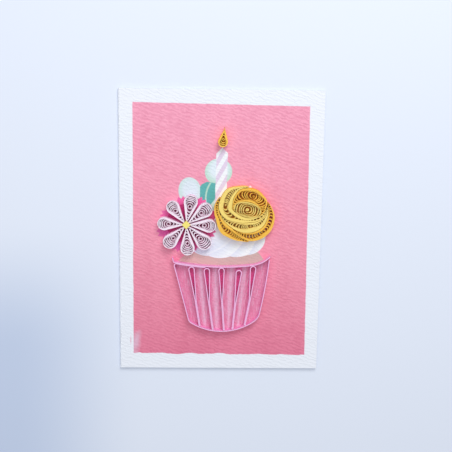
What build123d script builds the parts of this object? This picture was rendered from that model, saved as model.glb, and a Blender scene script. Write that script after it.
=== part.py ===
from build123d import *
import math
import os

# Quilled greeting card, in millimetres.
# A sheet folded once down its left edge lies on its back leaf. Paper strips stand on edge on the front
# leaf: a cupcake case with pleats, an eight-petalled flower, a flame and a rolled rose.
# The origin is the middle of the back face, +Y is the head of the card and +Z points out of its front.

# Folded card
card_width = 127.0
card_height = 178.0
board = 0.5
leaf_gap = 1.0

# Paper strips, all cut to one height
strip_height = 5.0
case_paper = 0.55
coil_paper = 0.15
glue_gap = 0.05
eye_radius = 0.5

# How finely a coil's curve is sampled, and how far its straight facets may leave it
samples_per_turn = 240
facet_sag = 0.075
sharp_bend_angle = 0.5

# Cupcake case. The middle of its rim is case_x from the middle of the card and rim_height above its foot.
case_x = 1.2
rim_height = 70.9
case_top_width = 60.6
case_base_left = 20.4
case_base_right = 23.6
case_depth = 44.8
rim_sag = 3.0
base_radius = 36.0
right_side_bow = 0.6
base_left_radius = 4.0
base_right_radius = 9.0
rim_corner_radius = 1.2
rim_tail_left = 2.7
rim_tail_run = 11.5
rim_tail_rise = 5.7
wall_end_rise = 1.6
tuck_length = 20.0

# Pleats. The shares place the loop, the merging point and the foot across the case, and say how far
# the loop hangs below the rim, all in case top widths.
pleat_loop_width = 3.9
pleat_merge_depth = 21.5
pleat_shares = [
    (-0.314, -0.269, -0.224, 0.0),
    (-0.155, -0.130, -0.086, 0.0),
    (-0.003, 0.007, 0.030, 0.0),
    (0.177, 0.145, 0.120, 0.03),
    (0.325, 0.297, 0.247, 0.0),
]

# Flower
petal_reach = 18.8
petal_tip_gap = 0.8
petal_side_angle = 1.2
petal_turns = 5
petal_coil_gap = 0.17
petal_eye_share = 0.6
petal_angles = [78.7, 38.0, -2.5, -45.0, -86.7, -133.3, 177.5, 127.4]
petal_reach_shares = [1.0, 1.03, 0.98, 1.09, 1.03, 1.02, 0.95, 0.945]
centre_side = 3.8
centre_paper = 0.5
flower_x = -21.3
flower_rim_gap = 5.0

# Flame, whose middle is above the middle of the rim
flame_rise = 78.0
flame_length = 11.6
flame_width = 6.3
flame_lean_angle = -96.5
flame_turns = 4
flame_coil_gap = 0.2
flame_eye_share = 0.58

# Rose: a rolled heart with five crescents wrapped round it, one over the other
rose_size = 38.0
rose_turns = 5
rose_coil_gap = 0.27
rose_flower_angle = 14.47
rose_nestle_share = 0.955
rose_flower_side_share = 0.559
heart_length_share = 0.448
heart_width_share = 0.258
heart_lean_angle = -12.0
# Each crescent: the direction of its eye in degrees, then how thick it is in directions round the rose.
# It lies on the heart and on the crescents named before it.
crescent_shares = {
    "rose_upper": (67, [
        (-36, 0), (-20, 0.024), (0, 0.076), (25, 0.182), (45, 0.208), (65, 0.230),
        (90, 0.224), (112, 0.205), (135, 0.126), (160, 0.040), (180, 0.026), (197, 0),
    ]),
    "rose_left": (168, [
        (78, 0), (90, 0.024), (112, 0.060), (135, 0.168), (160, 0.216), (180, 0.226),
        (200, 0.220), (225, 0.140), (277, 0.080), (315, 0.080), (340, 0.052), (362, 0.016), (388, 0),
    ]),
    "rose_lower": (282, [
        (182, 0), (200, 0.034), (225, 0.114), (277, 0.172), (315, 0.122), (340, 0.060), (360, 0.030), (381, 0),
    ]),
    "rose_outer_right": (304, [
        (234, 0), (250, 0.040), (277, 0.138), (315, 0.148), (340, 0.122), (360, 0.080), (384, 0),
    ]),
    "rose_outer_left": (217, [
        (153, 0), (160, 0.030), (180, 0.078), (200, 0.110), (225, 0.178), (250, 0.118), (263, 0.054), (280, 0),
    ]),
}

# Places that follow from the sizes above
front_z = 2 * board + leaf_gap
case_y = rim_height - card_height / 2
rim_radius = (case_top_width ** 2 / 4 + rim_sag ** 2) / (2 * rim_sag)
base_centre_y = case_y - case_depth + base_radius
flower_y = case_y + flower_rim_gap + petal_reach
rose_centre_distance = petal_reach * rose_nestle_share + rose_size * rose_flower_side_share
rose_x = flower_x + rose_centre_distance * math.cos(math.radians(rose_flower_angle))
rose_y = flower_y + rose_centre_distance * math.sin(math.radians(rose_flower_angle))

os.makedirs("parts", exist_ok=True)


def save(piece, name):
    piece.part.label = name
    export_step(piece.part, f"parts/{name}.step")


# A plane on the front of the card, turned in the card's own plane
def card_plane(x, y, degrees=0, height=0):
    x_dir = (math.cos(math.radians(degrees)), math.sin(math.radians(degrees)), 0)
    return Plane(origin=(x, y, front_z + height), x_dir=x_dir, z_dir=(0, 0, 1))


# Both edges of a strip that follows a path, as one closed outline with mitred corners
def strip_outline(path, paper):
    left, right = [], []
    for i, (x, y) in enumerate(path):
        x0, y0 = path[max(i - 1, 0)]
        x1, y1 = path[min(i + 1, len(path) - 1)]
        before = math.atan2(y - y0, x - x0) if i > 0 else math.atan2(y1 - y, x1 - x)
        after = math.atan2(y1 - y, x1 - x) if i < len(path) - 1 else before
        turn = (after - before + math.pi) % (2 * math.pi) - math.pi
        across = before + turn / 2 + math.pi / 2
        reach = paper / 2 / max(math.cos(turn / 2), 0.3)
        left.append((x + reach * math.cos(across), y + reach * math.sin(across)))
        right.append((x - reach * math.cos(across), y - reach * math.sin(across)))
    return left + right[::-1]


# The smaller of two widths, with a soft change from one to the other
def softly_smaller(a, b):
    tiny = coil_paper / 100
    return (max(a, tiny) ** -4 + max(b, tiny) ** -4) ** -0.25


# The line of a loose coil that has been pressed into an outline. The turns lie close together along
# both flanks and spread out towards both ends. half_width gives the outline along the coil's axis.
def coil_path(turns, gap, low, high, eye, half_width):
    path = []
    overlap = gap / (coil_paper + gap) / 2
    for i in range(round((turns + overlap) * samples_per_turn) + 1):
        k = i / samples_per_turn
        across, along = -math.sin(2 * math.pi * k), -math.cos(2 * math.pi * k)
        if along > 0:
            share, far = min((k + 0.5) / turns, 1), high - eye
        else:
            share, far = min(k / turns, 1), eye - low
        x = eye + (eye_radius + (far - eye_radius) * share) * along
        core = eye_radius + ((high - low) / 2 - eye_radius) * min(k / turns, 1)
        flank = half_width(x) - max(turns - k, 0) * (coil_paper + gap)
        width = softly_smaller(flank, core)
        roundness = max(2 * core / width, 2) / (1.03 - share)
        path.append((x, width * math.copysign((1 - abs(along) ** roundness) ** 0.5, across)))
    return path


# The points of a smooth line that straight facets need to stay within facet_sag of it
def facets(path):
    kept = [path[0]]
    length = turned = 0
    for (x0, y0), (x1, y1), (x2, y2) in zip(path, path[1:], path[2:]):
        length += math.hypot(x1 - x0, y1 - y0)
        bend = math.atan2(y2 - y1, x2 - x1) - math.atan2(y1 - y0, x1 - x0)
        bend = abs((bend + math.pi) % (2 * math.pi) - math.pi)
        turned += bend
        sharp = bend > sharp_bend_angle
        if (length * turned / 8 > facet_sag or sharp) and length > 2 * coil_paper:
            kept.append((x1, y1))
            length = turned = 0
        elif sharp:
            kept[-1] = (x1, y1)
            length = turned = 0
    return kept + [path[-1]]


# Half the width of a teardrop with its tip at zero, less half a paper all round
def teardrop_half_width(length, radius):
    middle = length - radius
    angle = math.asin(radius / middle)
    touch = middle - radius * math.sin(angle)

    def half_width(x):
        if x < touch:
            return x * math.tan(angle) - coil_paper / 2 / math.cos(angle)
        return max((radius - coil_paper / 2) ** 2 - (x - middle) ** 2, 0) ** 0.5

    return half_width, coil_paper / 2 / math.sin(angle), length - coil_paper / 2


# A coil on edge, as a solid on the given plane
def stand_on_edge(plane, path, paper):
    with BuildPart() as piece:
        with BuildSketch(plane):
            with BuildLine():
                Polyline(*strip_outline(facets(path), paper), close=True)
            make_face()
        extrude(amount=strip_height)
    return piece


def folded_card():
    edge_x = card_width / 2
    fold_radius = (board + leaf_gap) / 2
    with BuildPart() as card:
        with BuildSketch(Plane.XZ):
            with BuildLine():
                back = Line((edge_x, board / 2), (fold_radius + board / 2 - edge_x, board / 2))
                fold = JernArc(back @ 1, (-1, 0), fold_radius, -180)
                Line(fold @ 1, (edge_x, front_z - board / 2))
            trace(line_width=board)
        extrude(amount=card_height / 2, both=True)
    save(card, "card")


# A point of the rim's arc, lowered square to the arc
def rim_point(x, drop=0):
    radius = rim_radius + drop
    return (case_x + x, case_y - rim_sag + rim_radius - (radius ** 2 - x ** 2) ** 0.5)


def base_point(x, drop=0):
    radius = base_radius + drop
    return (case_x + x, base_centre_y - (radius ** 2 - x ** 2) ** 0.5)


# The rim strip: a shallow arc with a short folded tail on the left and a curled one on the right
def case_rim():
    half = case_top_width / 2
    with BuildPart() as rim:
        with BuildSketch(Plane.XY.offset(front_z)):
            with BuildLine():
                arc = ThreePointArc(rim_point(-half), rim_point(0), rim_point(half - rim_tail_run))
                TangentArc(arc @ 1, (arc @ 1) + Vector(rim_tail_run, rim_tail_rise), tangent=arc % 1)
                Line(arc @ 0, (arc @ 0) + Vector(-rim_tail_left / 4, rim_tail_left))
            trace(line_width=case_paper)
        extrude(amount=strip_height)
    save(rim, "cup_rim")


# The wall strip starts in a tuck glued under the rim, then runs down the left side, round the base
# and up the right side
def case_wall():
    half = case_top_width / 2
    drop = case_paper + glue_gap
    with BuildPart() as wall:
        with BuildSketch(Plane.XY.offset(front_z)):
            with BuildLine() as line:
                tuck_points = (tuck_length - half, tuck_length / 2 - half, -half)
                tuck = ThreePointArc(*(rim_point(x, drop) for x in tuck_points))
                base = ThreePointArc(base_point(-case_base_left), base_point(0), base_point(case_base_right))
                Line(tuck @ 1, base @ 0)
                SagittaArc(base @ 1, (case_x + half - case_paper, case_y + wall_end_rise), -right_side_bow)
                fillet(line.vertices().sort_by_distance(tuck @ 1)[0], rim_corner_radius)
                fillet(line.vertices().sort_by_distance(base @ 0)[0], base_left_radius)
                fillet(line.vertices().sort_by_distance(base @ 1)[0], base_right_radius)
            trace(line_width=case_paper)
        extrude(amount=strip_height)
    save(wall, "cup_wall")


# A strip folded into a narrow loop, with its two legs laid together from the merging point down
def pleat(number, loop_share, merge_share, foot_share, hang_share):
    radius = (pleat_loop_width - case_paper) / 2
    leg = (case_paper + glue_gap) / 2
    loop_x, merge_x, foot_x = (share * case_top_width for share in (loop_share, merge_share, foot_share))
    layers = 2 if loop_x < tuck_length - case_top_width / 2 + radius else 1
    drop = layers * (case_paper + glue_gap) + hang_share * case_top_width
    top = Vector(*rim_point(loop_x, drop + radius))
    merge = Vector(case_x + merge_x, top.Y + radius - pleat_merge_depth)
    foot = Vector(*base_point(foot_x, -case_paper - glue_gap))
    axis = (top - merge).normalized()
    side = Vector(-axis.Y, axis.X)
    lean = math.asin((radius - leg) / (top - merge).length)
    shoulder = axis * -math.sin(lean) + side * math.cos(lean)
    other = axis * -math.sin(lean) - side * math.cos(lean)
    with BuildPart() as loop:
        with BuildSketch(Plane.XY.offset(front_z)):
            with BuildLine():
                Polyline(foot + side * leg, merge + side * leg, top + shoulder * radius)
                ThreePointArc(top + shoulder * radius, top + axis * radius, top + other * radius)
                Polyline(top + other * radius, merge - side * leg, foot - side * leg)
            trace(line_width=case_paper)
        extrude(amount=strip_height)
    save(loop, f"pleat_{number}")


def petal(number, angle, reach):
    spacing = min((a - b) % 360 for a in petal_angles for b in petal_angles if a != b)
    side = math.sin(math.radians(spacing / 2 - petal_side_angle))
    length = reach - petal_tip_gap
    half_width, low, high = teardrop_half_width(length, length * side / (1 + side))
    path = coil_path(petal_turns, petal_coil_gap, low, high, length * petal_eye_share, half_width)
    tip = (math.cos(math.radians(angle)) * petal_tip_gap, math.sin(math.radians(angle)) * petal_tip_gap)
    plane = card_plane(flower_x + tip[0], flower_y + tip[1], angle)
    save(stand_on_edge(plane, path, coil_paper), f"petal_{number}")


# A small square of card, set as a diamond over the tips of the petals
def flower_centre():
    with BuildPart() as square:
        with BuildSketch(card_plane(flower_x, flower_y, 45, strip_height)):
            Rectangle(centre_side, centre_side)
        extrude(amount=centre_paper)
    save(square, "flower_centre")


def flame():
    half_width, low, high = teardrop_half_width(flame_length, flame_width / 2)
    path = coil_path(flame_turns, flame_coil_gap, low, high, flame_length * flame_eye_share, half_width)
    lean = math.radians(flame_lean_angle)
    tip_x = case_x - math.cos(lean) * flame_length / 2
    tip_y = case_y + flame_rise - math.sin(lean) * flame_length / 2
    save(stand_on_edge(card_plane(tip_x, tip_y, flame_lean_angle), path, coil_paper), "flame")


def rose_heart():
    long_half = rose_size * heart_length_share / 2 - coil_paper / 2 - facet_sag
    short_half = rose_size * heart_width_share / 2 - coil_paper / 2 - facet_sag

    def half_width(x):
        return short_half * max(1 - (x / long_half) ** 2, 0) ** 0.5

    path = coil_path(rose_turns, rose_coil_gap, -long_half, long_half, 0, half_width)
    save(stand_on_edge(card_plane(rose_x, rose_y, heart_lean_angle), path, coil_paper), "rose_heart")


# How thick a crescent is in one direction from the middle of the rose, smoothly between its shares
def crescent_thickness(name, degrees):
    shares = crescent_shares[name][1]
    degrees = (degrees - shares[0][0]) % 360 + shares[0][0]
    for i, ((start, low), (end, high)) in enumerate(zip(shares, shares[1:])):
        if start <= degrees <= end:
            before, after = shares[max(i - 1, 0)], shares[min(i + 2, len(shares) - 1)]
            start_slope = (high - before[1]) / (end - before[0]) * (end - start)
            end_slope = (after[1] - low) / (after[0] - start) * (end - start)
            t = (degrees - start) / (end - start)
            rise = low + (high - low) * (3 * t ** 2 - 2 * t ** 3)
            sway = start_slope * (t ** 3 - 2 * t ** 2 + t) + end_slope * (t ** 3 - t ** 2)
            return max(rise + sway, 0) * rose_size
    return 0


# How far out the rose reaches in one direction once the heart and the crescents named are rolled on
def rolled_radius(inner, degrees):
    angle = math.radians(degrees - heart_lean_angle)
    long_half, short_half = rose_size * heart_length_share / 2, rose_size * heart_width_share / 2
    heart = long_half * short_half / math.hypot(short_half * math.cos(angle), long_half * math.sin(angle))
    return heart + sum(crescent_thickness(name, degrees) for name in inner)


# Where a crescent gets too thin for the pinched end of its coil, in steps out from its eye
def arm_end(name, degrees, step):
    pinch = 2 * (2 * coil_paper + rose_coil_gap)
    while crescent_thickness(name, degrees) >= pinch:
        degrees += step
    return degrees


# A coil pressed against what is already rolled. It fills its crescent as far out along both arms as
# its pinched ends still fit.
def rose_crescent(name):
    names = list(crescent_shares)
    inner = names[:names.index(name)]
    eye, shares = crescent_shares[name]
    radius = rolled_radius(inner, eye) + crescent_thickness(name, eye) / 2

    def half_width(x):
        thickness = crescent_thickness(name, eye + math.degrees(x / radius))
        return (thickness - glue_gap - coil_paper) / 2 - facet_sag

    low, high = (math.radians(arm_end(name, eye, step) - eye) * radius for step in (-1, 1))
    path = []
    for x, y in coil_path(rose_turns, rose_coil_gap, low, high, 0, half_width):
        degrees = eye + math.degrees(x / radius)
        out = rolled_radius(inner, degrees) + crescent_thickness(name, degrees) / 2 + y
        path.append((out * math.cos(math.radians(degrees)), out * math.sin(math.radians(degrees))))
    save(stand_on_edge(card_plane(rose_x, rose_y), path, coil_paper), name)


folded_card()
case_rim()
case_wall()
for i, shares in enumerate(pleat_shares):
    pleat(i + 1, *shares)
for i, (angle, share) in enumerate(zip(petal_angles, petal_reach_shares)):
    petal(i + 1, angle, petal_reach * share)
flower_centre()
flame()
rose_heart()
for name in crescent_shares:
    rose_crescent(name)
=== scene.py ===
import bisect
import math
import random

import bmesh
import bpy
from mathutils import Matrix, Vector, noise


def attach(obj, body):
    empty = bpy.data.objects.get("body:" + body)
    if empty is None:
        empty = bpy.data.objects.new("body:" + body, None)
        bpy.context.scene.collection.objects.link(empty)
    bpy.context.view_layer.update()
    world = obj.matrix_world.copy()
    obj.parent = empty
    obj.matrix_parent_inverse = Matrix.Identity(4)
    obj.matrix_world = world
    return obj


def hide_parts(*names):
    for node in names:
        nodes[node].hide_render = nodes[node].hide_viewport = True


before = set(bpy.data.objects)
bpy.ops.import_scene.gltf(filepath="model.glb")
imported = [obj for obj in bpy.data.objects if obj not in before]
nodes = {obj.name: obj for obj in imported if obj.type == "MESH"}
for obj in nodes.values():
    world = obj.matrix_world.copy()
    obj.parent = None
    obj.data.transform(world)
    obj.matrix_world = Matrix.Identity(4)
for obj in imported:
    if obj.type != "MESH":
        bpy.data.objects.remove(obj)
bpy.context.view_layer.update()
mm = 0.001
print("frame loaded:", len(nodes), "nodes")


# Colours are given as they look on screen, in 0 to 255
def rgb(r, g, b):
    def linear(c):
        c = c / 255
        return c / 12.92 if c <= 0.04045 else ((c + 0.055) / 1.055) ** 2.4
    return (linear(r), linear(g), linear(b), 1)


# One socket in a material's tree, which arithmetic extends with new nodes
class Wire:
    def __init__(self, tree, socket):
        self.tree, self.socket = tree, socket

    def node(self, kind, settings=None, inputs=None, output=0):
        made = self.tree.nodes.new(kind)
        for name, value in (settings or {}).items():
            setattr(made, name, value)
        for name, value in (inputs or {}).items():
            if isinstance(value, Wire):
                self.tree.links.new(value.socket, made.inputs[name])
            elif value is not None:
                made.inputs[name].default_value = value
        return Wire(self.tree, made.outputs[output])

    def math(self, operation, other=None, clamp=False):
        settings = {"operation": operation, "use_clamp": clamp}
        return self.node("ShaderNodeMath", settings, {0: self, 1: other})

    def __add__(self, other): return self.math("ADD", other)
    def __sub__(self, other): return self.math("SUBTRACT", other)
    def __mul__(self, other): return self.math("MULTIPLY", other)
    def __truediv__(self, other): return self.math("DIVIDE", other)
    def __neg__(self): return self.math("MULTIPLY", -1.0)
    def __radd__(self, other): return self.math("ADD", other)
    def __rmul__(self, other): return self.math("MULTIPLY", other)
    def __rsub__(self, other): return (-self).math("ADD", other)

    def least(self, other): return self.math("MINIMUM", other)
    def most(self, other): return self.math("MAXIMUM", other)
    def absolute(self): return self.math("ABSOLUTE")
    def root(self): return self.math("SQRT")
    def held(self): return self.math("ADD", 0.0, clamp=True)

    def eased(self):
        return self.node("ShaderNodeMapRange", {"interpolation_type": "SMOOTHSTEP"}, {0: self})

    def mix(self, first, second):
        return self.node("ShaderNodeMix", {"data_type": "RGBA"}, {0: self, 6: first, 7: second}, 2)

    def tinted(self, tint):
        settings = {"data_type": "RGBA", "blend_type": "MULTIPLY"}
        return self.node("ShaderNodeMix", settings, {0: 1.0, 6: self, 7: tint}, 2)


def feed(wire, socket):
    wire.tree.links.new(wire.socket, socket)


def split(wire):
    parts = wire.node("ShaderNodeSeparateXYZ", None, {0: wire}).socket.node
    return [Wire(wire.tree, parts.outputs[i]) for i in range(3)]


def inMillimetres(where):
    return [axis * 1000 for axis in split(where)]


def turned(where, scale, degrees):
    inputs = {"Vector": where, "Rotation": (0, 0, math.radians(degrees)), "Scale": scale}
    return where.node("ShaderNodeMapping", None, inputs)


def noiseAt(where, scale, detail, roughness=0.5, stretch=(1, 1, 1), turn=0):
    inputs = {"Vector": turned(where, stretch, turn), "Scale": scale, "Detail": detail, "Roughness": roughness}
    return where.node("ShaderNodeTexNoise", None, inputs)


def isCameraRay(tree):
    return Wire(tree, tree.nodes.new("ShaderNodeLightPath").outputs["Is Camera Ray"])


def newMaterial(name, roughness, gloss):
    material = bpy.data.materials.new(name)
    material.use_nodes = True
    tree = material.node_tree
    shader = next(n for n in tree.nodes if n.type == "BSDF_PRINCIPLED")
    shader.inputs["Roughness"].default_value = roughness
    shader.inputs["Specular IOR Level"].default_value = gloss
    where = Wire(tree, tree.nodes.new("ShaderNodeTexCoord").outputs["Object"])
    return material, shader, where


def roughen(shader, where, height, strength, depth):
    bumps = where.node("ShaderNodeBump", None, {"Strength": strength, "Distance": depth, "Height": height})
    feed(bumps, shader.inputs["Normal"])


def addToScene(thing):
    bpy.context.scene.collection.objects.link(thing)
    return thing


camera = {
    "place": (-9.26, 90.48, 497.2), "turn": (-9.883, -1.348, 0.789),
    "focalPixels": 800, "framePixels": 452, "sensor": 36, "near": 0.01, "far": 20,
}
lens = bpy.data.cameras.new("camera")
lens.sensor_width = camera["sensor"]
lens.lens = camera["focalPixels"] / camera["framePixels"] * camera["sensor"]
lens.clip_start, lens.clip_end = camera["near"], camera["far"]
viewer = addToScene(bpy.data.objects.new("camera", lens))
viewer.location = [c * mm for c in camera["place"]]
viewer.rotation_euler = [math.radians(a) for a in camera["turn"]]
bpy.context.scene.camera = viewer
bpy.context.scene.view_settings.view_transform = "Standard"

floor = {
    "half": 6.0, "low": -0.0002, "roughness": 0.9, "gloss": 0,
    "colour": rgb(231, 238, 252), "dim": rgb(200, 213, 237), "dimFrom": (-45, 10), "dimOver": 90,
    "far": rgb(184, 189, 198), "lampReach": 800, "nearGain": 1.2,
}
bm = bmesh.new()
level = Matrix.Translation((0, 0, floor["low"]))
bmesh.ops.create_grid(bm, x_segments=1, y_segments=1, size=floor["half"], matrix=level)
floorMesh = bpy.data.meshes.new("floor")
bm.to_mesh(floorMesh)
bm.free()
floorPiece = addToScene(bpy.data.objects.new("floor", floorMesh))

material, shader, where = newMaterial("floorPaper", floor["roughness"], floor["gloss"])
x, y, _ = inMillimetres(where)
# The floor is painted darker towards the lower left: a painted soft shadow on the floor
leftward = ((floor["dimFrom"][0] - x) / floor["dimOver"]).eased()
downward = ((floor["dimFrom"][1] - y) / floor["dimOver"]).eased()
feed((leftward * downward).mix(floor["colour"], floor["dim"]), shader.inputs["Base Color"])

# Beyond 250 mm, as the lamps' light fades, the floor takes on the backdrop's colour for the camera alone
lampLight = ((x * x + y * y) / floor["lampReach"] ** 2 + 1.0).math("POWER", -2.0)
faded = (1.0 - lampLight * floor["nearGain"]).held()
feed((isCameraRay(where.tree) * faded).mix((0, 0, 0, 1), floor["far"]), shader.inputs["Emission Color"])
shader.inputs["Emission Strength"].default_value = 1
floorMesh.materials.append(material)

light = {
    "key": {"place": (0.18, 0.64, 0.62), "size": 0.4, "watts": 3.8, "colour": (1.0, 0.985, 0.955)},
    "fill": {"place": (-0.1, 0.2, 1.0), "size": 0.9, "watts": 3.7, "colour": (0.97, 0.98, 1.0)},
    "sky": {"colour": (0.93, 0.96, 1.0), "strength": 0.42},
}
for name in ("key", "fill"):
    kind = light[name]
    lamp = bpy.data.lights.new(name, "AREA")
    lamp.size, lamp.energy, lamp.color = kind["size"], kind["watts"], kind["colour"]
    holder = addToScene(bpy.data.objects.new(name, lamp))
    holder.location = kind["place"]
    holder.rotation_euler = (-Vector(kind["place"])).to_track_quat("-Z", "Y").to_euler()

world = bpy.data.worlds.new("studio")
bpy.context.scene.world = world
world.use_nodes = True
sky = world.node_tree.nodes["Background"]
sky.inputs["Strength"].default_value = light["sky"]["strength"]
backdrop = [c / light["sky"]["strength"] for c in floor["colour"][:3]]
skyColour = isCameraRay(world.node_tree).mix((*light["sky"]["colour"], 1), (*backdrop, 1))
feed(skyColour, sky.inputs["Color"])
print("camera, floor and lights placed")


# The print on the sheet, in millimetres from the middle of the card. An oval is its centre, its
# half sizes and its tilt in degrees, and outlines go clockwise.
front = 2.0                           # height of the card's front face
hub = (-21.3, 5.7)                    # middle of the flower
sheet = {"white": rgb(240, 244, 253), "roughness": 0.85, "gloss": 0.2, "printDepth": 0.02}
sheetNoise = {
    "ridges": {"scale": 520, "detail": 1.5, "stretch": (0.5, 1, 1), "turn": 20},
    "fibres": {"scale": 700, "detail": 3, "roughness": 0.6, "stretch": (1, 1.6, 1), "turn": 14},
    "patches": {"scale": 150, "detail": 1},
    "wobble": {"scale": 160, "detail": 3},
    "blots": {"scale": 24, "detail": 3},
    "brush": {"scale": 140, "detail": 3, "stretch": (1, 0.3, 1)},
    "streaks": {"scale": 120, "detail": 2, "stretch": (1, 0.12, 1)},
}
weave = {
    "turn": 20,
    "wave": {"Scale": 145, "Distortion": 7.0, "Detail": 2.0, "Detail Scale": 2.2, "Detail Roughness": 0.6},
}
relief = {"ridges": 0.8, "weave": 0.75, "fibres": 0.55, "strength": 0.9, "depth": 0.00024}
field = {
    "left": ((-54.6, 80.7), (-54.8, -79.0)), "right": ((54.3, 79.4), (55.5, -80.0)),
    "ragged": {"head": 0.5, "left": 0.5, "right": 0.6, "foot": 2.8},
    "head": rgb(251, 171, 197), "middle": rgb(249, 160, 184), "foot": rgb(233, 131, 160),
    "middleHeight": -10, "toHead": 80, "toFoot": 75,
    "shadow": rgb(240, 226, 232), "shadowLevel": 0.75,
    "shadowShares": {"relief": 1.6, "blots": 0.6, "streaks": 0.8},
    "worn": ((-53.4, -72.5), (2.3, 6.5), -8), "wornColour": rgb(228, 192, 214),
    "wornRagged": 4, "wornSoftness": 3.0, "wornShare": 0.8,
    "mark": ((-56.6, -70.5), (0.35, 2.4)), "markShare": 0.5,
}
leaves = [
    {"centre": (-19.2, 26.0), "size": (7.1, 8.9), "tilt": 8, "pale": rgb(222, 234, 243), "rim": rgb(204, 231, 226)},
    {"centre": (-1.5, 38.5), "size": (8.5, 8.2), "tilt": 20, "pale": rgb(228, 240, 249), "rim": rgb(196, 228, 215)},
]
leafPale = {"shift": (0.3, 1.4), "share": 0.78, "tilt": 12, "blots": 3, "softness": 3.5}
tealLeaf = {
    "outline": [(-12.9, 29.0), (-11.8, 30.6), (-8.6, 32.2), (-2.9, 31.2), (-3.3, 20.5), (-5.9, 17.6), (-13.0, 18.0)],
    "dark": rgb(86, 170, 168), "light": rgb(114, 192, 190),
    "vein": ((8.1, 21.9), 17.4), "veinHalf": 0.5, "veinInset": 0.3, "veinColour": rgb(184, 220, 204),
    "stalk": [(-6.6, 17.4), (-3.2, 21.8), (-3.0, 14.0), (-6.0, 14.5)], "stalkColour": rgb(196, 228, 218),
}
candle = {
    "outline": [(0.7, 53.8), (4.1, 50.1), (3.7, 29.0), (2.8, 16.0), (-3.6, 16.0), (-2.9, 49.7)], "ripple": 0.12,
    "white": rgb(245, 248, 254), "lilac": rgb(230, 214, 237), "pitch": 10.2, "slope": 1.75, "contrast": 2.2,
}
cake = {
    "outline": [(-27.6, -19.2), (-20.3, -13.0), (24.2, -12.4), (29.0, -18.6), (20.0, -24.0), (-20.0, -24.0)],
    "left": rgb(216, 180, 176), "right": rgb(202, 180, 174), "turnsFrom": -5, "turnsOver": 40,
}
cream = {
    "lobes": [
        ((-8, -2), (14, 12.9)), ((0, -3), (16, 13.3)), ((10, -3), (16, 12.5)), ((17.5, -3), (11, 11)),
        ((9, 5), (18, 14)), ((18.4, 27.4), (1.2, 2.5)),
    ],
    "ridges": [((-16, 15), 30.2), ((-11.1, 9.7), 29.9), ((-15.4, 8.5), 40.1)],
    "white": rgb(246, 253, 255), "lilac": rgb(227, 235, 250), "riseShare": 0.03, "level": 0.35,
    "ridgeSoftness": 0.5, "shadeWidth": 6.5, "litMiddle": -0.6, "litHalf": 1.1, "litShare": 0.7,
    "lit": rgb(244, 249, 255),
}
printedFlower = {
    "halfWidth": 6.2, "tooth": 3.0, "toothStart": 40.5, "toothMiddle": 0.7, "toothDepth": 0.9,
    "light": rgb(236, 120, 176), "lightFrom": -6, "lightOver": 9, "lightLeast": 0.1,
    "petals": [                       # direction, reach and colour
        (56, 18.8, rgb(222, 80, 150)), (19, 19.6, rgb(198, 50, 112)), (-20, 18.8, rgb(200, 50, 115)),
        (-66, 17.8, rgb(205, 60, 135)), (-112, 18.4, rgb(205, 78, 158)), (-160, 18.9, rgb(214, 84, 160)),
        (158, 16.8, rgb(226, 90, 160)), (102, 16.9, rgb(226, 90, 154)),
    ],
}
underPrintAndShade = [                        # ovals under the flower, the rose and the flame
    (hub, (12.5, 12.5), rgb(196, 62, 124)),
    # The rose's oval is printed darker than the rose's paper: partly print, partly painted shade in the gaps between
    # its turns
    ((14.7, 12.0), (15.8, 14.4), rgb(216, 160, 80)),
    ((1.2, 59.0), (2.2, 3.4), rgb(252, 160, 60)),
]
casePrint = {
    "outline": [(-30.2, -14.0), (31.8, -12.0), (25.4, -54.0), (22.0, -64.0), (-17.5, -64.0), (-20.2, -54.0)],
    "base": ((1.2, -26.9), 36.0), "rim": ((1.2, 131.9), 153.0),
    "middle": 1.2, "halfWidth": 33.9, "flare": 0.2,
    "pink": rgb(227, 144, 178), "lilac": rgb(232, 190, 214), "deep": rgb(219, 118, 156),
    "paleBands": ((-0.468, 0.075), (-0.131, 0.09), (0.217, 0.09), (0.498, 0.0675)), "paleShare": 1.1,
    "deepBands": ((-0.62, 0.052), (-0.30, 0.065), (0.02, 0.078), (0.36, 0.065), (0.66, 0.052)), "deepShare": 0.7,
    "lines": {"scale": 42, "detail": 3, "roughness": 0.6}, "lineSlope": 0.004, "paleLines": 4.5, "deepLines": 3.0,
    "loops": [
        ((-16.8, -31.0), 8), ((-7.6, -31.5), 8.5), ((1.2, -32.0), 1.0), ((11.2, -33.0), -9.5), ((20.0, -31.0), -8.5),
    ],
    "loopSize": (1.3, 9.6), "loopSoftness": 1.2, "shade": rgb(242, 106, 170),
}


def edge(d, softness=0.4):            # one inside an outline, none outside it
    return (0.5 - d / softness).held()


def beside(x, y, first, second):      # distance to the left of a line, negative on its right
    dx, dy = second[0] - first[0], second[1] - first[1]
    length = math.hypot(dx, dy)
    return x * (-dy / length) + y * (dx / length) + (first[0] * dy - first[1] * dx) / length


def convex(x, y, points):
    d = None
    for first, second in zip(points, points[1:] + points[:1]):
        side = beside(x, y, first, second)
        d = side if d is None else d.most(side)
    return d


def fromDisc(x, y, centre, radius):    # distance outside a circle, negative inside it
    u, v = x - centre[0], y - centre[1]
    return (u * u + v * v).root() - radius


def oval(x, y, centre, size, tilt=0):  # nearly the distance outside an oval
    c, s = math.cos(math.radians(tilt)), math.sin(math.radians(tilt))
    u = (x * c + y * s + (-centre[0] * c - centre[1] * s)) / size[0]
    v = (y * c - x * s + (centre[0] * s - centre[1] * c)) / size[1]
    return ((u * u + v * v).root() - 1.0) * min(size)


def bump(u, middle, half):            # one at the middle, falling to none at half on either side
    return (1.0 - (u - middle).absolute() / half).held()


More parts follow.
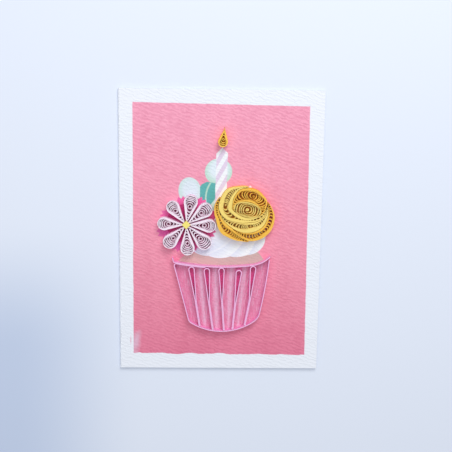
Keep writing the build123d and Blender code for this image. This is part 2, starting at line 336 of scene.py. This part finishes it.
def printedLeaves(x, y, blots, colour):
    for leaf in leaves:
        middle = [c + s for c, s in zip(leaf["centre"], leafPale["shift"])]
        inner = oval(x, y, middle, [s * leafPale["share"] for s in leaf["size"]], leaf["tilt"] + leafPale["tilt"])
        tint = edge(inner + (blots - 0.5) * leafPale["blots"], leafPale["softness"]).mix(leaf["rim"], leaf["pale"])
        colour = edge(oval(x, y, leaf["centre"], leaf["size"], leaf["tilt"])).mix(colour, tint)
    d = convex(x, y, tealLeaf["outline"])
    teal = (blots * 2 - 0.5).held().mix(tealLeaf["dark"], tealLeaf["light"])
    colour = edge(d).mix(colour, teal)
    vein = fromDisc(x, y, *tealLeaf["vein"]).absolute() - tealLeaf["veinHalf"]
    colour = edge(vein.most(d + tealLeaf["veinInset"])).mix(colour, tealLeaf["veinColour"])
    return edge(convex(x, y, tealLeaf["stalk"])).mix(colour, tealLeaf["stalkColour"])


def printedCandle(x, y, colour):
    around = 2 * math.pi
    d = convex(x, y, candle["outline"]) + (y * (around / candle["pitch"])).math("SINE") * candle["ripple"]
    rise = (y - x * candle["slope"]) / candle["pitch"]
    band = (rise * around).math("SINE")
    stripe = (band * candle["contrast"] + 0.5).held().mix(candle["lilac"], candle["white"])
    return edge(d).mix(colour, stripe)


def printedCake(x, y, blots, colour):
    share = (x - cake["turnsFrom"]) / cake["turnsOver"] + (blots - 0.5)
    tan = share.held().mix(cake["left"], cake["right"])
    return edge(convex(x, y, cake["outline"])).mix(colour, tan)


def printedCream(x, y, colour):
    d = None
    for centre, size in cream["lobes"]:
        lobe = oval(x, y, centre, size)
        d = lobe if d is None else d.least(lobe)
    fill = (y * cream["riseShare"] + cream["level"]).held().mix(cream["lilac"], cream["white"])
    for centre, radius in cream["ridges"]:
        beyond = fromDisc(x, y, centre, radius)
        shade = (1.0 - beyond / cream["shadeWidth"]).held().mix(cream["white"], cream["lilac"])
        lit = bump(beyond, cream["litMiddle"], cream["litHalf"])
        fill = edge(-beyond, cream["ridgeSoftness"]).mix(fill, shade)
        fill = (lit * cream["litShare"]).mix(fill, cream["lit"])
    return edge(d).mix(colour, fill)


def printedPetals(x, y, colour):
    wide, tooth = printedFlower["halfWidth"], printedFlower["tooth"]
    for direction, reach, tint in printedFlower["petals"]:
        c, s = math.cos(math.radians(direction)), math.sin(math.radians(direction))
        along = (x - hub[0]) * c + (y - hub[1]) * s
        across = (y - hub[1]) * c - (x - hub[0]) * s
        u, v = (along - reach / 2) / (reach / 2), across / wide
        d = ((u * u + v * v).root() - 1.0) * wide
        teeth = (across + printedFlower["toothStart"]).math("PINGPONG", tooth / 2)
        d = d + (teeth - printedFlower["toothMiddle"]) * printedFlower["toothDepth"]
        lightStart = reach + printedFlower["lightFrom"]
        lit = ((along - lightStart) / printedFlower["lightOver"] + printedFlower["lightLeast"]).held()
        colour = edge(d).mix(colour, lit.mix(tint, printedFlower["light"]))
    for centre, size, tint in underPrintAndShade:
        colour = edge(oval(x, y, centre, size)).mix(colour, tint)
    return colour


def printedCase(x, y, colour):
    d = convex(x, y, casePrint["outline"])
    d = d.most(fromDisc(x, y, *casePrint["base"]))
    d = d.most(-fromDisc(x, y, *casePrint["rim"]))
    u = (x - casePrint["middle"]) / (y * casePrint["flare"] + casePrint["halfWidth"])
    along = u.node("ShaderNodeCombineXYZ", None, {0: u, 1: y * casePrint["lineSlope"]})
    lines = noiseAt(along, **casePrint["lines"])
    fill = casePrint["pink"]
    for middle, half in casePrint["paleBands"]:
        fill = (bump(u, middle, half) * casePrint["paleShare"]).held().mix(fill, casePrint["lilac"])
    for middle, half in casePrint["deepBands"]:
        fill = (bump(u, middle, half) * casePrint["deepShare"]).held().mix(fill, casePrint["deep"])
    fill = ((lines - 0.5) * casePrint["paleLines"]).held().mix(fill, casePrint["lilac"])
    fill = ((0.5 - lines) * casePrint["deepLines"]).held().mix(fill, casePrint["deep"])
    for centre, tilt in casePrint["loops"]:
        loop = oval(x, y, centre, casePrint["loopSize"], tilt)
        fill = edge(loop, casePrint["loopSoftness"]).mix(fill, casePrint["shade"])
    return edge(d).mix(colour, fill)


# The painted field, worn at one corner, with a brushed foot
def paintedField(x, y, texture, height):
    (headLeft, footLeft), (headRight, footRight) = field["left"], field["right"]
    ragged = field["ragged"]
    wobble, brush = texture["wobble"] - 0.5, texture["brush"] - 0.5
    d = beside(x, y, headLeft, headRight) + wobble * ragged["head"]
    d = d.most(beside(x, y, headRight, footRight) + wobble * ragged["right"])
    d = d.most(beside(x, y, footLeft, headLeft) + wobble * ragged["left"])
    d = d.most(beside(x, y, footRight, footLeft) + brush * ragged["foot"])

    # The pink is painted paler towards the head and deeper towards the foot: a painted sheen across the top of the
    # card
    low = ((field["middleHeight"] - y) / field["toFoot"]).held()
    high = ((y - field["middleHeight"]) / field["toHead"]).held()
    pink = high.mix(low.mix(field["middle"], field["foot"]), field["head"])
    shares = field["shadowShares"]
    unshaded = height * shares["relief"] - field["shadowLevel"]
    unshaded = unshaded + (texture["blots"] - 0.5) * shares["blots"] + (texture["streaks"] - 0.5) * shares["streaks"]
    pink = unshaded.held().mix(pink.tinted(field["shadow"]), pink)

    worn = edge(oval(x, y, *field["worn"]) + wobble * field["wornRagged"], field["wornSoftness"])
    pink = (worn * field["wornShare"]).mix(pink, field["wornColour"])
    colour = edge(d).mix(sheet["white"], pink)
    return (edge(oval(x, y, *field["mark"])) * field["markShare"]).mix(colour, field["foot"])


def printedSheet():
    material, shader, where = newMaterial("printedSheet", sheet["roughness"], sheet["gloss"])
    x, y, z = inMillimetres(where)
    texture = {name: noiseAt(where, **kind) for name, kind in sheetNoise.items()}
    settings = {"wave_type": "BANDS", "bands_direction": "Y"}
    inputs = {"Vector": turned(where, (1, 1, 1), weave["turn"]), **weave["wave"]}
    bands = where.node("ShaderNodeTexWave", settings, inputs)
    height = (
        texture["ridges"] * relief["ridges"] + bands * texture["patches"] * relief["weave"]
        + texture["fibres"] * relief["fibres"]
    )

    colour = paintedField(x, y, texture, height)
    colour = printedLeaves(x, y, texture["blots"], colour)
    colour = printedCandle(x, y, colour)
    colour = printedCake(x, y, texture["blots"], colour)
    colour = printedCream(x, y, colour)
    colour = printedPetals(x, y, colour)
    colour = printedCase(x, y, colour)

    onFront = (z - (front - sheet["printDepth"])).math("GREATER_THAN", 0.0)
    feed(onFront.mix(sheet["white"], colour), shader.inputs["Base Color"])
    roughen(shader, where, height, relief["strength"], relief["depth"])
    return material


def dress(name, material):
    nodes[name].data.materials.clear()
    nodes[name].data.materials.append(material)


dress("card", printedSheet())
print("sheet printed")

paperLook = {
    "roughness": 0.7, "gloss": 0.25, "shadow": rgb(244, 242, 244),
    "fibre": {"scale": 2600, "detail": 3, "stretch": (1, 1, 0.3)}, "cloud": {"scale": 350, "detail": 2},
    "noiseShare": 0.6, "noiseLevel": 0.25, "contrast": 1.2, "innerFade": 2.5, "strength": 0.4, "depth": 0.00002,
}


# Strip paper: its cut edges on top, its faces below, and another colour at the start of the roll
# if one is given
def stripPaper(name, edgeColour, faceColour, innerColour=None):
    material, shader, where = newMaterial(name, paperLook["roughness"], paperLook["gloss"])
    up = split(Wire(where.tree, where.socket.node.outputs["Normal"]))[2]
    onTop = (up - 0.5).math("GREATER_THAN", 0.0)
    fibre = noiseAt(where, **paperLook["fibre"])
    cloud = noiseAt(where, **paperLook["cloud"])
    cut = edgeColour
    if innerColour:
        turn = where.node("ShaderNodeAttribute", {"attribute_name": "turnShare"}, None, 2)
        cut = (turn * paperLook["innerFade"]).held().mix(innerColour, edgeColour)
    # The cut edges on top are painted paler than the faces of the same strip: painted light on the tops, painted
    # shade on the faces
    colour = onTop.mix(faceColour, cut)
    share = fibre * paperLook["noiseShare"] + cloud * paperLook["noiseShare"] - paperLook["noiseLevel"]
    unshaded = (share * paperLook["contrast"]).held()
    feed(unshaded.mix(colour.tinted(paperLook["shadow"]), colour), shader.inputs["Base Color"])
    roughen(shader, where, fibre, paperLook["strength"], paperLook["depth"])
    return material


papers = {
    "case": stripPaper("casePaper", rgb(255, 198, 240), rgb(255, 172, 222)),
    "petal": stripPaper("petalPaper", rgb(255, 242, 255), rgb(252, 212, 236), rgb(252, 230, 244)),
    "flame": stripPaper("flamePaper", rgb(255, 203, 86), rgb(255, 190, 74)),
    "pale": stripPaper("rosePalePaper", rgb(255, 227, 126), rgb(255, 206, 90)),
    "deep": stripPaper("roseDeepPaper", rgb(255, 200, 80), rgb(255, 180, 58)),
    "centre": stripPaper("centreCard", rgb(255, 239, 130), rgb(252, 222, 96)),
}
for name in nodes:
    if name.startswith(("cup_", "pleat_")):
        dress(name, papers["case"])
dress("flower_centre", papers["centre"])
print("case and flower centre dressed")


# What all coils share, lengths in millimetres
coil = {
    "height": 5.0, "outerPaper": 0.17,
    "unevenTop": 0.04, "unevenScale": 420,           # how deep and how often the cut edges dip
    "perTurn": 160, "overlap": 0.05,                 # points to a turn, turns past the last whole one
    "varied": 0.3, "apart": 0.12,                    # how the turns' reaches differ, and their least step
    "narrowSteps": 400, "leastWidth": 0.002, "widthBlend": 4,
    "squareness": 1.03, "capShare": 0.6,             # how square the outer turns are, paper's share of a gap
    "sag": 0.006, "longest": 1.2,                    # how far and how long a kept edge may be off the line
}


def softlySmaller(a, b):
    power = coil["widthBlend"]
    return sum(max(c, coil["leastWidth"]) ** -power for c in (a, b)) ** (-1 / power)


# How far each free turn of a coil reaches on one side of its eye: on towards the end, but only as far
# as the turns outside it leave room
def turnReach(far, shares, hole, pitch, halfWidthAt):
    steps = coil["narrowSteps"]
    narrowest, least = [], math.inf   # least half width so far, negated so that it never falls
    for i in range(steps + 1):
        least = min(least, halfWidthAt(far * i / steps))
        narrowest.append(-least)
    free = len(shares) - 1
    reach = []
    for n, share in enumerate(shares):
        need = (free - n) * pitch + (coil["apart"] if n < free else 0)
        fit = far * max(bisect.bisect_right(narrowest, -need) - 1, 0) / steps if n < free else far
        reach.append(max(min(hole + (far - hole) * share, fit), reach[-1] if reach else hole))
    return reach


# A coil rolled tight round its eye, then let out and pressed into an outline. The turns lie close
# along both flanks, by a pitch for each, and stand apart towards both ends.
# Each point is x, y, share of the roll and thickness of the paper.
def coilLine(kind, low, high, eye, halfWidth, seed):
    chance = random.Random(seed)
    tight, free = kind["eyeTurns"], kind["freeTurns"]
    under, over = kind["flankPitch"]
    pitch = (under + over) / 2
    hole = kind["hole"] + tight * kind["eyePitch"]
    weights = [1 + chance.uniform(-coil["varied"], coil["varied"]) for _ in range(free)]
    for i in range(kind["closeTurns"]):
        weights[-1 - i] = kind["closeShare"]
    shares = [sum(weights[:i]) / sum(weights) for i in range(free + 1)]
    highReach = turnReach(high - eye, shares, hole, pitch, lambda x: halfWidth(eye + x))
    lowReach = turnReach(eye - low, shares, hole, pitch, lambda x: halfWidth(eye - x))

    def at(reach, n):
        n = min(max(n, 0), free)
        whole = min(int(n), free - 1)
        return reach[whole] + (n - whole) * (reach[whole + 1] - reach[whole])

    points = []
    for i in range(round((tight + free + coil["overlap"]) * coil["perTurn"]) + 1):
        k = i / coil["perTurn"]
        across, along = -math.sin(2 * math.pi * k), -math.cos(2 * math.pi * k)
        n = k - tight
        left = min(max(free - n, 0), free)
        middle = left * (under - over) / 2
        if n < 0:
            radius = kind["hole"] + k * kind["eyePitch"]
            points.append((eye + radius * along, middle + radius * across, 0, kind["eyePitch"]))
            continue
        reach, later = (highReach, n + 0.5) if along > 0 else (lowReach, n)
        x = eye + at(reach, later) * along
        core = (at(highReach, n + 0.5) + at(lowReach, n)) / 2
        width = softlySmaller(halfWidth(x) - left * pitch, core)
        roundness = max(2 * core / width, 2) / (coil["squareness"] - at(shares, later))
        side = max(1 - abs(along) ** roundness, 0) ** 0.5
        gap = at(reach, later) - at(reach, later - 1)
        flank = over if across > 0 else under
        cap = min(max(gap * coil["capShare"], flank), kind["cap"])
        paper = flank + (cap - flank) * (1 - side ** 2)
        points.append((x, middle + width * math.copysign(side, across), n / free, paper))
    return points


# Leaves out the points that a smooth line doesn't need: a bend of that size over that length strays
# from its chord by an eighth of their product
def thinned(points):
    kept = [points[0]]
    length = bent = 0
    for before, here, after in zip(points, points[1:], points[2:]):
        ahead = math.atan2(after[1] - here[1], after[0] - here[0])
        behind = math.atan2(here[1] - before[1], here[0] - before[0])
        length += math.hypot(here[0] - before[0], here[1] - before[1])
        bent += abs((ahead - behind + math.pi) % (2 * math.pi) - math.pi)
        if length * bent / 8 > coil["sag"] or length > coil["longest"]:
            kept.append(here)
            length = bent = 0
    return kept + [points[-1]]


# A strip of paper set on edge along a line of points
def standStrip(name, points, material, node):
    widest = max(point[3] for point in points)
    bm = bmesh.new()
    rolled = bm.verts.layers.float.new("turnShare")
    weight = bm.verts.layers.deform.verify()
    line = []
    for x, y, share, paper in points:
        vertex = bm.verts.new((x * mm, y * mm, front * mm))
        vertex[rolled] = share
        vertex[weight][0] = paper / widest
        line.append(vertex)
    for first, second in zip(line, line[1:]):
        bm.edges.new((first, second))
    lifted = bmesh.ops.extrude_edge_only(bm, edges=bm.edges[:])["geom"]
    tops = [v for v in lifted if isinstance(v, bmesh.types.BMVert)]
    for vertex in tops:
        uneven = (noise.noise(vertex.co * coil["unevenScale"]) - 1) * coil["unevenTop"] / 2
        vertex.co.z += (coil["height"] + uneven) * mm
    bmesh.ops.recalc_face_normals(bm, faces=bm.faces[:])
    mesh = bpy.data.meshes.new(name)
    bm.to_mesh(mesh)
    bm.free()
    mesh.materials.append(material)
    piece = addToScene(bpy.data.objects.new(name, mesh))
    piece.vertex_groups.new(name="paper")
    wall = piece.modifiers.new("thickness", "SOLIDIFY")
    wall.thickness, wall.offset, wall.use_even_offset = widest * mm, 0, True
    wall.vertex_group, wall.thickness_vertex_group = "paper", 0
    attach(piece, "root")
    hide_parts(node)


def placed(points, x, y, degrees):
    c, s = math.cos(math.radians(degrees)), math.sin(math.radians(degrees))
    return [(x + px * c - py * s, y + px * s + py * c, *rest) for px, py, *rest in points]


def onward(start, degrees, distance):
    angle = math.radians(degrees)
    return start[0] + distance * math.cos(angle), start[1] + distance * math.sin(angle)


# A point at zero that widens to a round end: how wide it is along its length, and where the
# middle of the paper can start and end
def teardrop(length, radius):
    paper = coil["outerPaper"]
    middle = length - radius
    angle = math.asin(radius / middle)
    touch = middle - radius * math.sin(angle)

    def halfWidth(x):
        if x < touch:
            return x * math.tan(angle) - paper / 2 / math.cos(angle)
        return max((radius - paper / 2) ** 2 - (x - middle) ** 2, 0) ** 0.5

    return halfWidth, paper / 2 / math.sin(angle), length - paper / 2


flower = {
    "reach": 18.8, "tipGap": 0.8, "sideAngle": 1.2, "eyeShare": 0.6,
    "angles": [78.7, 38.0, -2.5, -45.0, -86.7, -133.3, 177.5, 127.4],
    "reachShares": [1.0, 1.03, 0.98, 1.09, 1.03, 1.02, 0.95, 0.945],
    "roll": {
        "hole": 0.92, "eyeTurns": 1, "eyePitch": 0.42, "freeTurns": 6, "flankPitch": (0.28, 0.28),
        "closeTurns": 1, "closeShare": 0.3, "cap": 0.6,
    },
}
spacing = min((a - b) % 360 for a in flower["angles"] for b in flower["angles"] if a != b)
slimness = math.sin(math.radians(spacing / 2 - flower["sideAngle"]))
for i, (angle, share) in enumerate(zip(flower["angles"], flower["reachShares"])):
    length = flower["reach"] * share - flower["tipGap"]
    halfWidth, low, high = teardrop(length, length * slimness / (1 + slimness))
    line = coilLine(flower["roll"], low, high, length * flower["eyeShare"], halfWidth, i)
    line = placed(thinned(line), *onward(hub, angle, flower["tipGap"]), angle)
    standStrip(f"petalCoil{i + 1}", line, papers["petal"], f"petal_{i + 1}")
print("flower rolled")

flame = {
    "middle": (1.2, 59.9), "length": 11.6, "width": 6.3, "lean": -96.5, "eyeShare": 0.6, "seed": 20,
    "roll": {
        "hole": 0.4, "eyeTurns": 1, "eyePitch": 0.35, "freeTurns": 5, "flankPitch": (0.27, 0.27),
        "closeTurns": 2, "closeShare": 0.3, "cap": 0.6,
    },
}
halfWidth, low, high = teardrop(flame["length"], flame["width"] / 2)
line = coilLine(flame["roll"], low, high, flame["length"] * flame["eyeShare"], halfWidth, flame["seed"])
tip = onward(flame["middle"], flame["lean"], -flame["length"] / 2)
standStrip("flameCoil", placed(thinned(line), *tip, flame["lean"]), papers["flame"], "flame")
print("flame rolled")

# The rose. Each crescent has the direction of its eye, its paper, its free turns, the pitch of its flanks,
# and its thickness as shares of the rose's size, in directions round the rose. It lies on the heart and
# the crescents before it.
rose = {
    "centre": (16.65, 15.49), "size": 38.0, "heartLong": 0.448, "heartWide": 0.258, "heartLean": -12.0,
    "heartInset": 0.08, "heartSeed": 30, "clear": 0.05, "tipTurns": 4, "crescentSeed": 40,
    "heartRoll": {
        "hole": 0.25, "eyeTurns": 2, "eyePitch": 0.34, "freeTurns": 6, "flankPitch": (0.22, 0.22),
        "closeTurns": 1, "closeShare": 0.3, "cap": 0.58,
    },
    "crescentRoll": {"hole": 0.3, "eyeTurns": 1, "eyePitch": 0.24, "closeTurns": 0, "closeShare": 1, "cap": 0.62},
    "crescents": {
        "rose_upper": {"eye": 67, "paper": "deep", "turns": 11, "pitch": (0.15, 0.17), "thickness": [
            (-36, 0), (-20, 0.024), (0, 0.076), (25, 0.182), (45, 0.208), (65, 0.230),
            (90, 0.224), (112, 0.205), (135, 0.126), (160, 0.040), (180, 0.026), (197, 0)]},
        "rose_left": {"eye": 168, "paper": "pale", "turns": 16, "pitch": (0.17, 0.18), "thickness": [
            (78, 0), (90, 0.024), (112, 0.060), (135, 0.168), (160, 0.216), (180, 0.226),
            (200, 0.220), (225, 0.140), (277, 0.080), (315, 0.080), (340, 0.052), (362, 0.016), (388, 0)]},
        "rose_lower": {"eye": 282, "paper": "pale", "turns": 12, "pitch": (0.1, 0.24), "thickness": [
            (182, 0), (200, 0.034), (225, 0.114), (277, 0.172), (315, 0.122), (340, 0.060), (360, 0.030), (381, 0)]},
        "rose_outer_right": {"eye": 304, "paper": "deep", "turns": 11, "pitch": (0.13, 0.2), "thickness": [
            (234, 0), (250, 0.040), (277, 0.138), (315, 0.148), (340, 0.122), (360, 0.080), (384, 0)]},
        "rose_outer_left": {"eye": 217, "paper": "deep", "turns": 11, "pitch": (0.16, 0.21), "thickness": [
            (153, 0), (160, 0.030), (180, 0.078), (200, 0.110), (225, 0.178), (250, 0.118), (263, 0.054), (280, 0)]},
    },
}
heartHalves = [rose["size"] * share / 2 for share in (rose["heartLong"], rose["heartWide"])]


# A smooth curve through the crescent's shares, none beyond its ends
def crescentThickness(name, degrees):
    shares = rose["crescents"][name]["thickness"]
    degrees = (degrees - shares[0][0]) % 360 + shares[0][0]
    for i, ((start, low), (end, high)) in enumerate(zip(shares, shares[1:])):
        if start <= degrees <= end:
            before, after = shares[max(i - 1, 0)], shares[min(i + 2, len(shares) - 1)]
            startSlope = (high - before[1]) / (end - before[0]) * (end - start)
            endSlope = (after[1] - low) / (after[0] - start) * (end - start)
            t = (degrees - start) / (end - start)
            rise = low + (high - low) * (3 * t ** 2 - 2 * t ** 3)
            sway = startSlope * (t ** 3 - 2 * t ** 2 + t) + endSlope * (t ** 3 - t ** 2)
            return max(rise + sway, 0) * rose["size"]
    return 0


def rolledRadius(inner, degrees):
    angle = math.radians(degrees - rose["heartLean"])
    longHalf, shortHalf = heartHalves
    heart = longHalf * shortHalf / math.hypot(shortHalf * math.cos(angle), longHalf * math.sin(angle))
    return heart + sum(crescentThickness(name, degrees) for name in inner)


def armEnd(name, degrees, step, tip):
    while crescentThickness(name, degrees) >= tip:
        degrees += step
    return degrees


innerLong, innerShort = (half - rose["heartInset"] for half in heartHalves)


def heartHalfWidth(x):
    return innerShort * max(1 - (x / innerLong) ** 2, 0) ** 0.5


line = coilLine(rose["heartRoll"], -innerLong, innerLong, 0, heartHalfWidth, rose["heartSeed"])
line = placed(thinned(line), *rose["centre"], rose["heartLean"])
standStrip("roseHeartCoil", line, papers["pale"], "rose_heart")

for i, (name, crescent) in enumerate(rose["crescents"].items()):
    eye, pitch = crescent["eye"], crescent["pitch"]
    inner = list(rose["crescents"])[:i]
    roll = {**rose["crescentRoll"], "freeTurns": crescent["turns"], "flankPitch": pitch}
    tip = 2 * rose["clear"] + rose["tipTurns"] * sum(pitch) / 2    # the arms stop where they get this thin
    radius = rolledRadius(inner, eye) + crescentThickness(name, eye) / 2

    def halfWidth(x):
        return (crescentThickness(name, eye + math.degrees(x / radius)) - rose["clear"] - pitch[1]) / 2

    low, high = (math.radians(armEnd(name, eye, step, tip) - eye) * radius for step in (-1, 1))
    line = []
    for x, y, *rest in coilLine(roll, low, high, 0, halfWidth, rose["crescentSeed"] + i):
        degrees = eye + math.degrees(x / radius)
        out = rolledRadius(inner, degrees) + crescentThickness(name, degrees) / 2 + y
        line.append((*onward((0, 0), degrees, out), *rest))
    label = "roseCoil" + "".join(word.capitalize() for word in name.split("_")[1:])
    line = placed(thinned(line), *rose["centre"], 0)
    standStrip(label, line, papers[crescent["paper"]], name)
print("rose rolled")
